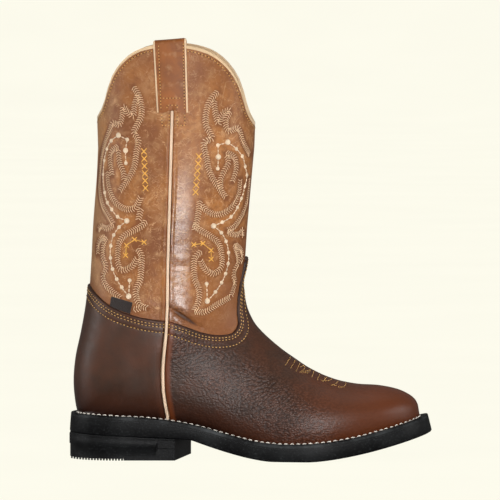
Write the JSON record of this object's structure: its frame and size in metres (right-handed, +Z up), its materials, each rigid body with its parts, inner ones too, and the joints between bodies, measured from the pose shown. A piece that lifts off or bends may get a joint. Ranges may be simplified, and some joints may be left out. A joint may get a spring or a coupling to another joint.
{
  "type": "roper boot",
  "caption": "Right-foot pull-on leather roper boot: tall scalloped shaft, round-toe vamp and heel counter on a welted rubber sole with a low block heel; stands empty.",
  "frame": {"origin": "on the floor, under the middle of the boot's box", "axes": "+Z up, +X towards the toe, -Y towards the outer side of a right foot"},
  "size_m": [0.3, 0.1122, 0.3486],
  "materials": {
    "shaft_leather": "tan pull-up leather, waxed and mottled",
    "foot_leather": "dark oiled brown leather, pebbled",
    "strap_leather": "brown leather with pale raw edges",
    "piping": "cream piping",
    "insole": "matt board",
    "sole_rubber": "matt black"
  },
  "bodies": {
    "root": {"upper": "shaft_leather", "vamp": "foot_leather", "counter": "foot_leather", "side_piping_lateral": "piping", "side_piping_medial": "piping", "pull_strap_lateral": "strap_leather", "pull_strap_medial": "strap_leather", "insole": "insole", "welt": "sole_rubber", "outsole": "sole_rubber", "heel": "sole_rubber"}
  },
  "joints": []
}
